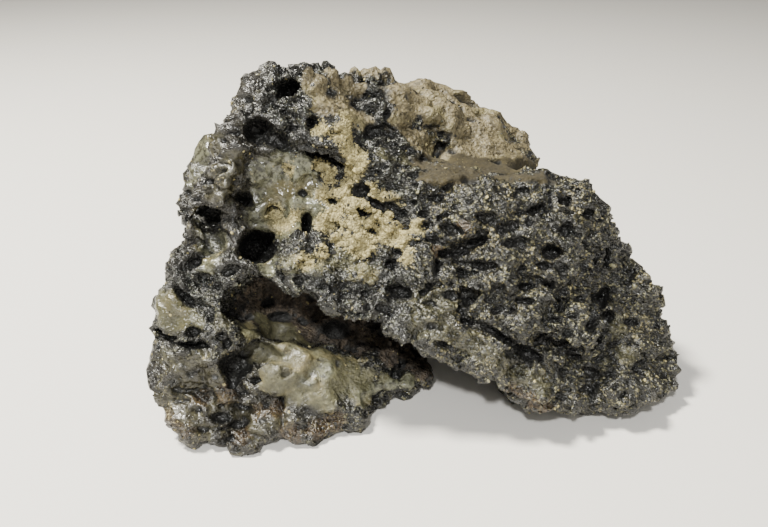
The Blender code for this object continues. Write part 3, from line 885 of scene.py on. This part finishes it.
def break_open(stone, blobs, foam_depth):
    """Swells the skin, sinks it into foam and cracks it, each as far as its zone lets it."""
    spots, normals = places(stone)
    weights = zone_weights(spots, blobs)
    glassy = left_by_zones("foam", weights)
    swell = left_by_zones("swells", weights)
    smooth = np.clip(sum(weights[zone] * share for zone, share in SMOOTH_ZONES.items()), 0, 1)
    for width, height, seed in SWELLS:
        spots = ripple(spots, normals, width, swell * height, seed)
    for part, (width, height, seed) in ((smooth, SMOOTH_SWELL), (weights["film"], FILM_SWELL)):
        spots = ripple(spots, normals, width, part * height, seed)
    spots = spots + normals * (glassy * foam_depth * FOAM_RISE)[:, None]
    depth = glassy * (1 - ASHEN_FOAM * weights["ash"]) * foam_depth
    for sizes, share in FOAM:
        spots = foam(spots, normals, sizes, depth * share)
    cracked = np.clip(glassy + WORN_CRACKS * (1 - weights["ledge"]), 0, 1)
    for sizes, width, deep, slant in CRACKS:
        spots = crevices(spots, normals, sizes, width, cracked * deep, slant)
    move_to(stone, spots)


def add_grit(stone, blobs, height):
    """Roughens the glassy skin finely and the rest softly, and returns which points face the viewpoint."""
    spots, normals = places(stone)
    glassy = left_by_zones("grit", zone_weights(spots, blobs))
    width, seed = GRIT_RIPPLE
    spots = ripple(spots, normals, width, glassy * height, seed)
    width, soft_height, seed = SMOOTH_RIPPLE
    spots = ripple(spots, normals, width, soft_height * (1 - glassy), seed)
    move_to(stone, keep_in_box(spots))
    towards = np.array(VIEWPOINT) - spots
    return (normals * towards).sum(axis=1) > FRONT_FROM * np.linalg.norm(towards, axis=1)


def openness(piece, reach, rays):
    """How open the surface is at each point: 1 on an edge or a plain, near 0 deep in a bubble."""
    spots, normals = places(piece)
    tree = surface(piece)
    spread = np.random.default_rng(RAY_SEED).normal(size=(rays, 3))
    spread /= np.linalg.norm(spread, axis=1)[:, None]
    free = np.zeros(len(spots))
    starts = (spots + normals * RAY_START) * MM
    for ray in spread:
        way = normals + ray * RAY_SPREAD
        for index in range(len(spots)):
            if tree.ray_cast(starts[index], way[index], reach * MM)[0] is None:
                free[index] += 1
    return free / rays


# ---------------------------------------------------------------- grains

def grain_shapes(draw, count):
    """Random small lumps: twenty faces each, dented and stretched."""
    bpy.ops.mesh.primitive_ico_sphere_add(subdivisions=1, radius=1)
    model = bpy.context.object
    points = np.array([vert.co for vert in model.data.vertices])
    faces = np.array([face.vertices[:] for face in model.data.polygons])
    bpy.data.objects.remove(model)
    dents = draw.uniform(*DENTS, size=(count, len(points), 1))
    stretches = draw.uniform(*STRETCHES, size=(count, 1, 3))
    return points[None] * dents * stretches, faces


def strew(name, stone, sizes, weights, count, seed):
    """One mesh of many grains, set into the stone where the weights are high."""
    draw = np.random.default_rng(seed)
    corners, areas = triangles(stone)
    odds = areas * weights[corners].mean(axis=1)
    chosen = draw.choice(len(areas), size=count, p=odds / odds.sum())
    mix = draw.dirichlet((1, 1, 1), size=count)
    spots, normals = places(stone)
    seats = (spots[corners[chosen]] * mix[:, :, None]).sum(axis=1)
    facing = normals[corners[chosen, 0]]
    small, large = sizes
    size = small + (large - small) * draw.random(count) ** GRAIN_POWER
    shapes, faces = grain_shapes(draw, count)
    points = np.empty_like(shapes)
    for index in range(count):
        turn = Euler(draw.uniform(0, math.tau, 3)).to_matrix()
        seat = seats[index] - facing[index] * size[index] * SUNK
        points[index] = shapes[index] @ np.array(turn).T * size[index] + seat
    joined = keep_in_box(points.reshape(-1, 3)) * MM
    all_faces = (faces[None] + (np.arange(count) * shapes.shape[1])[:, None, None]).reshape(-1, 3)
    grains = bpy.data.meshes.new(name)
    grains.from_pydata(joined.tolist(), [], all_faces.tolist())
    piece = bpy.data.objects.new(name, grains)
    bpy.context.scene.collection.objects.link(piece)
    store(piece, "tint", np.repeat(draw.random(count), shapes.shape[1]))
    return piece


# ---------------------------------------------------------------- shader helpers

class Field:
    """A socket of a material's nodes, which Python's operators work on."""

    def __init__(self, maker, socket):
        self.maker = maker
        self.socket = socket

    def __add__(self, other):
        return self.maker.maths("ADD", self, other)

    __radd__ = __add__

    def __sub__(self, other):
        return self.maker.maths("SUBTRACT", self, other)

    def __rsub__(self, other):
        return self.maker.maths("SUBTRACT", other, self)

    def __mul__(self, other):
        return self.maker.maths("MULTIPLY", self, other)

    __rmul__ = __mul__


class Maker:
    """Builds one material's nodes."""

    def __init__(self, name):
        self.material = bpy.data.materials.new(name)
        self.material.use_nodes = True
        self.tree = self.material.node_tree
        self.tree.nodes.clear()
        self.place = self.node("ShaderNodeTexCoord").outputs["Object"]

    def node(self, kind, settings=None, values=None):
        """A node of this type, with its settings, then the values or links of its sockets."""
        made = self.tree.nodes.new(kind)
        for name, value in (settings or {}).items():
            setattr(made, name, value)
        for name, value in (values or {}).items():
            socket = made.inputs[name]
            if isinstance(value, Field):
                self.tree.links.new(value.socket, socket)
            elif isinstance(value, bpy.types.NodeSocket):
                self.tree.links.new(value, socket)
            else:
                socket.default_value = value
        return made

    def maths(self, operation, *terms):
        values = dict(enumerate(terms))
        return Field(self, self.node("ShaderNodeMath", {"operation": operation}, values).outputs[0])

    def vector(self, operation, *terms):
        """Vector Math on these sockets or vectors."""
        made = self.node("ShaderNodeVectorMath", {"operation": operation}, dict(enumerate(terms)))
        return made.outputs[0]

    def warped(self, width, reach, squeeze):
        """Places pushed about by a noise this wide, as far as reach, both in millimetres, then squeezed."""
        values = {"Vector": self.place, "Scale": 1 / (width * MM), "Detail": 1.0}
        push = self.node("ShaderNodeTexNoise", None, values).outputs["Color"]
        push = self.vector("SUBTRACT", push, (0.5, 0.5, 0.5))
        push = self.vector("MULTIPLY", push, (2 * reach * MM,) * 3)
        return self.vector("MULTIPLY", self.vector("ADD", self.place, push), squeeze)

    def attribute(self, name):
        """The values stored under this name."""
        return Field(self, self.node("ShaderNodeAttribute", {"attribute_name": name}).outputs["Fac"])

    def grain(self, width, detail=2.0, rough=0.5):
        """Noise whose blotches are this wide, in millimetres."""
        values = {"Vector": self.place, "Scale": 1 / (width * MM), "Detail": detail, "Roughness": rough}
        return Field(self, self.node("ShaderNodeTexNoise", None, values).outputs["Fac"])

    def pebbles(self, width, feature="F1", place=None):
        """Distance to the nearest of many points, or of the walls between them, this far apart."""
        values = {"Vector": place or self.place, "Scale": 1 / (width * MM)}
        made = self.node("ShaderNodeTexVoronoi", {"feature": feature}, values)
        return Field(self, made.outputs["Distance"])

    def ramp(self, value, low, high):
        """0 at low, 1 at high, and smooth in between. low may be above high."""
        values = {"Value": value, "From Min": low, "From Max": high}
        made = self.node("ShaderNodeMapRange", {"interpolation_type": "SMOOTHSTEP"}, values)
        return Field(self, made.outputs["Result"])

    def blend(self, factor, first, second):
        """Colour from first to second by factor."""
        colours = [tone if isinstance(tone, Field) else (*tone, 1.0) for tone in (first, second)]
        values = {0: factor, 6: colours[0], 7: colours[1]}
        return Field(self, self.node("ShaderNodeMix", {"data_type": "RGBA"}, values).outputs[2])

    def bump(self, height, depth, after=None):
        """Relief of this depth, in millimetres, on top of any earlier relief."""
        values = {"Height": height, "Distance": depth * MM, "Strength": 1.0}
        if after is not None:
            values["Normal"] = after
        return Field(self, self.node("ShaderNodeBump", None, values).outputs["Normal"])

    def finish(self, values):
        """The material, with these values on its surface shader."""
        shader = self.node("ShaderNodeBsdfPrincipled", None, values)
        self.node("ShaderNodeOutputMaterial", None, {"Surface": shader.outputs["BSDF"]})
        return self.material


def shade_of(tone, factor):
    """The same colour, darker or lighter."""
    return tuple(channel * factor for channel in tone)


# ---------------------------------------------------------------- finishes

def patterns(make):
    """The noises, pores and stored values that the stone's colours, gloss and relief share."""
    fine = make.grain(0.2, 3.0, 0.6)
    medium = make.grain(0.7, 3.0, 0.6)
    broad = make.grain(2.6, 3.0, 0.55)
    froth = make.warped(0.5, 0.09, (0.7, 1.0, 1.0))
    pores = make.ramp(make.pebbles(0.46, "F1", froth), 0.42, 0.16)
    open_air = make.attribute("open")
    return SimpleNamespace(
        fine=fine,
        small=make.grain(0.45, 3.0, 0.65),
        medium=medium,
        broad=broad,
        frost=make.ramp(make.grain(0.3, 2.0, 0.7), 0.3, 0.7),
        edge=medium * 1.8 + broad * 2.4 + fine * 0.8 - 2.5,
        crumb=1.0 - make.ramp(make.pebbles(0.36), 0.05, 0.7),
        pores=pores,
        # the froth's pores: dips in the relief, and painted shade where they darken the colour
        froth_pores=pores * make.ramp(medium, 0.36, 0.56),
        walls=make.ramp(make.pebbles(0.46, "DISTANCE_TO_EDGE", froth), 0.2, 0.03),
        open_air=open_air,
        lit=make.ramp(open_air, 0.35, 0.95),
        ash=make.attribute("ash"),
        dull=make.attribute("dull"),
    )


def glass_colour(make, look, colours):
    """Dark glass with a thin veil and specks, warmer where ash lies and cool painted glints where none lies.
    Veil and specks keep out of closed-in places, specks gather on the bump's walls, and the bump's pores are
    darkened: painted light and shade.
    """
    tone = make.blend(make.ramp(look.broad, 0.42, 0.66), colours.speckle, shade_of(colours.dust, 0.55))
    # Cool specks where no ash lies: painted glints.
    tone = make.blend(look.ash, colours.glints, tone)
    patchy = look.fine + (look.medium - 0.5) * 0.5 + (look.broad - 0.5) * 0.25
    # Specks gather on the bump's walls and, with the veil, keep out of closed-in places: painted light and
    # shade.
    specks = make.ramp(patchy + look.walls * 0.07 + look.ash * 0.08, 0.58, 0.7)
    specks = specks * make.ramp(look.crumb, 0.1, 0.7) * look.lit * (1.0 - look.dull * 0.55)
    veil = make.ramp(look.medium + look.ash * 0.04, 0.5, 0.76) * look.lit
    glass = make.blend(veil, colours.glass, shade_of(colours.speckle, 0.19))
    glass = make.blend(specks, glass, tone)
    # The bump's pores darkened: painted shade.
    return make.blend(look.froth_pores * 0.9, glass, shade_of(colours.glass, 0.4))


def mottled(make, look, colours, finish):
    """Light and dark patches of one finish, with an accent in places and dark specks."""
    *tones, specks = MOTTLED[finish]
    light, dark, accent = (shade_of(getattr(colours, name), share) for name, share in tones)
    tone = make.blend(make.ramp(look.small, 0.36, 0.62), dark, light)
    tone = make.blend(make.ramp(look.broad, 0.5, 0.7), tone, accent)
    return make.blend(make.ramp(look.fine, 0.52, 0.36) * specks, tone, dark)


def finish_colours(make, look, colours):
    """The colour of each finish that lies on the glass."""
    tones = {finish: mottled(make, look, colours, finish) for finish in MOTTLED}
    tones["pale"] = tones["silt"]
    blotches = make.ramp(look.small + (look.fine - 0.5) * 0.4, 0.38, 0.66)
    haze = make.blend(blotches, shade_of(colours.haze, 0.45), shade_of(colours.haze, 1.6))
    # The haze is darkened in the bump's pores: painted shade.
    tones["haze"] = make.blend(look.pores * 0.6, haze, shade_of(colours.haze, 0.2))
    tones["rust"] = make.blend(make.ramp(look.fine, 0.4, 0.62), shade_of(colours.rust, 0.25), colours.rust)
    tones["dust"] = make.blend(make.ramp(look.fine, 0.36, 0.66), shade_of(colours.dust, 0.4), colours.dust)
    tones["deep"] = make.blend(make.ramp(look.medium, 0.35, 0.65), shade_of(colours.deep, 0.3), colours.deep)
    return tones


def finish_parts(make, look):
    """Where each finish shows, with ragged edges."""
    grit = look.fine - 0.5
    levels = {finish: make.attribute(finish) for finish in FINISH_EDGES}
    levels["pale"] = levels["pale"] + grit * 0.6
    levels["dust"] = levels["dust"] * 0.85 + grit * 1.2
    parts = {}
    for finish, (ragged, low, high, most) in FINISH_EDGES.items():
        parts[finish] = make.ramp(levels[finish] + look.edge * ragged, low, high) * most
    parts["pale"] = parts["pale"] * look.lit
    parts["dust"] = parts["dust"] * make.ramp(look.open_air, 0.2, 0.65)
    parts["deep"] = parts["deep"] * (1.0 - parts["dust"]) * (1.0 - parts["silt"])
    parts["dull"] = look.dull
    return parts


def scoria_finish(colours):
    """The stone's material: glass, the finishes over it, and shade in its bubbles."""
    make = Maker("scoria")
    look = patterns(make)
    parts = finish_parts(make, look)
    tones = finish_colours(make, look, colours)

    surface_colour = glass_colour(make, look, colours)
    for finish in ("haze", "rust", "silt", "film", "pale", "clay", "patina", "ledge"):
        surface_colour = make.blend(parts[finish], surface_colour, tones[finish])
    surface_colour = make.blend(look.dull * 0.36, surface_colour, shade_of(colours.deep, 0.16))
    for finish in ("dust", "deep"):
        surface_colour = make.blend(parts[finish], surface_colour, tones[finish])
    # Painted shade: the colour goes towards dark glass where the skin is closed in, less so on silt, and
    # most inside the pits.
    daylight = make.ramp(look.open_air, 0.18, 0.74) * make.ramp(make.attribute("airy"), -0.1, 0.4)
    daylight = make.maths("MAXIMUM", daylight, parts["silt"] * 0.8) * (1.0 - make.attribute("soot") * 0.92)
    surface_colour = make.blend(daylight, shade_of(colours.glass, 1.5), surface_colour)

    worn = sum(parts[finish] * share for finish, share in ROUGHER.items())
    rough = 0.14 + look.frost * 0.35 + worn - parts["film"] * (look.frost * 0.33 - 0.02)

    smooth = sum(parts[finish] * share for finish, share in SMOOTHER.items())
    coarse = 1.0 - make.maths("MINIMUM", smooth, 0.85)
    relief = make.bump((look.walls * 0.4 - look.froth_pores) * coarse, 0.16)
    relief = make.bump(look.crumb * coarse, 0.1, relief)
    relief = make.bump(make.grain(1.1, 1.0, 0.4) * parts["film"], 0.2, relief)
    relief = make.bump(make.grain(0.12, 2.0, 0.6) * coarse, 0.06, relief)
    return make.finish({
        "Base Color": surface_colour,
        "Roughness": make.maths("MINIMUM", rough, 0.95),
        "Normal": relief,
        "Specular IOR Level": 0.65,
    })


def crumb_finish(colours):
    """Dull tan, each crumb of its own shade."""
    make = Maker("tan_crumbs")
    fine = make.grain(0.12, 2.0)
    tint = make.ramp(make.attribute("tint"), 0.0, 1.0)
    tan = make.blend(tint, shade_of(colours.dust, 0.4), shade_of(colours.dust, 1.2))
    return make.finish({
        "Base Color": make.blend(make.ramp(fine, 0.4, 0.7), tan, shade_of(colours.dust, 0.7)),
        "Roughness": 0.85,
        "Normal": make.bump(fine, 0.05),
    })


def grain_finish(colours):
    """Dark glass, with a few bright grains."""
    make = Maker("glassy_grains")
    fine = make.grain(0.1, 2.0)
    bright = make.ramp(make.attribute("tint"), 0.85, 1.05)
    return make.finish({
        "Base Color": make.blend(bright, shade_of(colours.glass, 1.6), colours.speckle),
        "Roughness": 0.12 + make.ramp(fine, 0.35, 0.65) * 0.3,
        "Normal": make.bump(fine, 0.04),
        "Specular IOR Level": 0.6,
    })


# ---------------------------------------------------------------- operators

class SCORIA_OT_stone(bpy.types.Operator):
    """Reskin the stone with fine cells, open its bubbles and colour it"""

    bl_idname = "scoria.stone"
    bl_label = "Stone"

    def execute(self, context):
        settings = context.scene.scoria_stone
        stone = copy_of_node("scoria", "stone")
        modify(stone, "REMESH", mode="VOXEL", voxel_size=EVEN_CELL)
        modify(stone, "SMOOTH", factor=0.5, iterations=6)
        spots, _ = places(stone)
        move_to(stone, nudge(spots))
        even = surface(stone)
        blobs = blobs_on(even)

        modify(stone, "REMESH", mode="VOXEL", voxel_size=settings.cell)
        break_open(stone, blobs, settings.foam / MM)
        pits = hand_placed_pits(even, surface(stone))
        pits = pits + scattered_pits(stone, blobs, settings.seed, pits)
        press(stone, pits)

        modify(stone, "REMESH", mode="VOXEL", voxel_size=settings.cell)
        keep_largest(stone)
        modify(stone, "SMOOTH", factor=0.3, iterations=1)
        front = add_grit(stone, blobs, settings.grit / MM)
        modify(stone, "SMOOTH", factor=0.4, iterations=1)
        thin_out(stone, front, settings.front_triangles, settings.back_triangles)
        modify(stone, "TRIANGULATE")
        spots, _ = places(stone)
        spots = keep_in_box(spots)
        move_to(stone, spots)

        for zone, weight in zone_weights(spots, blobs).items():
            store(stone, zone, weight)
        # The pits' painted shade, and how open the skin is, which the material's painted shade reads.
        store(stone, "soot", pit_shade_in(spots, pits))
        for name, (reach, rays) in OPENNESS.items():
            store(stone, name, openness(stone, reach, rays))
        alone(stone)
        bpy.ops.object.shade_smooth()
        stone.data.materials.append(scoria_finish(context.scene.scoria_colours))
        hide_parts("scoria")
        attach(stone, "root")
        return {"FINISHED"}


class SCORIA_OT_crumbs(bpy.types.Operator):
    """Strew tan crumbs where dust has gathered"""

    bl_idname = "scoria.crumbs"
    bl_label = "Tan crumbs"

    def execute(self, context):
        settings = context.scene.scoria_grains
        stone = bpy.data.objects["stone"]
        weights = np.clip(stored(stone, "dust") - DUST_FROM, 0, 1) ** CRUMB_POWER + STRAY_CRUMBS
        # Fewer crumbs where the skin is closed in, and none in the pits' painted shade.
        weights *= (SHELTERED_CRUMBS + stored(stone, "open")) * (1 - stored(stone, "soot"))
        crumbs = strew("tan_crumbs", stone, CRUMB_SIZES, weights, settings.crumbs, settings.seed)
        crumbs.data.materials.append(crumb_finish(context.scene.scoria_colours))
        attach(crumbs, "root")
        return {"FINISHED"}


class SCORIA_OT_grains(bpy.types.Operator):
    """Strew sharp glassy grains over the broken faces"""

    bl_idname = "scoria.grains"
    bl_label = "Glassy grains"

    def execute(self, context):
        settings = context.scene.scoria_grains
        stone = bpy.data.objects["stone"]
        bare = left_by_zones("grains", {zone: stored(stone, zone) for zone in HELD_BACK["grains"]})
        # Grains keep to open skin and out of the pits' painted shade.
        weights = bare * stored(stone, "open") ** 2 * (1 - stored(stone, "soot"))
        grains = strew("glassy_grains", stone, GRAIN_SIZES, weights, settings.grains, settings.seed + 1)
        grains.data.materials.append(grain_finish(context.scene.scoria_colours))
        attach(grains, "root")
        return {"FINISHED"}


def lamp(name, strength):
    """One of the square soft lights, turned to the stone."""
    place, side, tint = LAMPS[name]
    light = bpy.data.lights.new(name, "AREA")
    light.size = side * MM
    light.energy = strength
    light.color = tint
    thing = bpy.data.objects.new(name, light)
    thing.location = Vector(place) * MM
    thing.rotation_mode = "QUATERNION"
    thing.rotation_quaternion = (Vector(LAMP_TARGET) - Vector(place)).to_track_quat("-Z", "Y")
    bpy.context.scene.collection.objects.link(thing)


def hang_sky(strength):
    """An even sky of this strength."""
    world = bpy.data.worlds.new("sky")
    world.use_nodes = True
    world.node_tree.nodes["Background"].inputs["Color"].default_value = SKY_TINT
    world.node_tree.nodes["Background"].inputs["Strength"].default_value = strength
    bpy.context.scene.world = world


def set_camera():
    """Puts the camera at the viewpoint, looking down its slope."""
    camera = bpy.data.cameras.new("camera")
    camera.sensor_width = SENSOR
    camera.lens = LENS
    camera.clip_start = MM
    camera.clip_end = VIEW_END * MM
    thing = bpy.data.objects.new("camera", camera)
    thing.location = VIEWPOINT * MM
    thing.rotation_euler = (math.radians(90) - VIEW_SLOPE, 0, 0)
    bpy.context.scene.collection.objects.link(thing)
    bpy.context.scene.camera = thing


class SCORIA_OT_stage(bpy.types.Operator):
    """Lay the floor, hang the lights and set the camera"""

    bl_idname = "scoria.stage"
    bl_label = "Stage"

    def execute(self, context):
        settings = context.scene.scoria_stage
        bpy.ops.object.select_all(action="DESELECT")
        bpy.ops.mesh.primitive_plane_add(size=FLOOR_SIDE * MM, location=(0, 0, 0))
        floor = context.object
        floor.name = "floor"
        paint = {"Base Color": (*settings.floor, 1.0), "Roughness": 0.7}
        floor.data.materials.append(Maker("floor").finish(paint))
        floor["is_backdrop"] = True
        for name in LAMPS:
            lamp(name, getattr(settings, name))
        hang_sky(settings.sky)
        set_camera()
        return {"FINISHED"}


class SCORIA_PT_panel(bpy.types.Panel):
    """Lists the pieces, the stage and all their settings"""

    bl_idname = "SCORIA_PT_panel"
    bl_label = "Scoria specimen"
    bl_space_type = "VIEW_3D"
    bl_region_type = "UI"
    bl_category = "Scoria"

    def draw(self, context):
        layout = self.layout
        for operator in OPERATORS:
            layout.operator(operator.bl_idname)
        for name in SETTINGS:
            group = getattr(context.scene, name)
            for prop in group.bl_rna.properties:
                if not prop.is_readonly and prop.identifier != "name":
                    layout.prop(group, prop.identifier)


SETTINGS = {
    "scoria_stone": ScoriaStone,
    "scoria_grains": ScoriaGrains,
    "scoria_colours": ScoriaColours,
    "scoria_stage": ScoriaStage,
}
OPERATORS = (SCORIA_OT_stone, SCORIA_OT_crumbs, SCORIA_OT_grains, SCORIA_OT_stage)


def register():
    for name, group in SETTINGS.items():
        bpy.utils.register_class(group)
        setattr(bpy.types.Scene, name, PointerProperty(type=group))
    for kind in (*OPERATORS, SCORIA_PT_panel):
        bpy.utils.register_class(kind)


def unregister():
    for kind in reversed((*OPERATORS, SCORIA_PT_panel)):
        bpy.utils.unregister_class(kind)
    for name, group in SETTINGS.items():
        delattr(bpy.types.Scene, name)
        bpy.utils.unregister_class(group)


def write_sizes():
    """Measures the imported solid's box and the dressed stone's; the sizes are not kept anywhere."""
    boxes = {"cad": CAD_BOX, "visual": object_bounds()}
    sizes = {name: [list(corner) for corner in box] for name, box in boxes.items()}


def main():
    register()
    bpy.ops.scoria.stone()
    bpy.ops.scoria.crumbs()
    bpy.ops.scoria.grains()
    bpy.ops.scoria.stage()
    write_sizes()


if __name__ == "__main__":
    main()
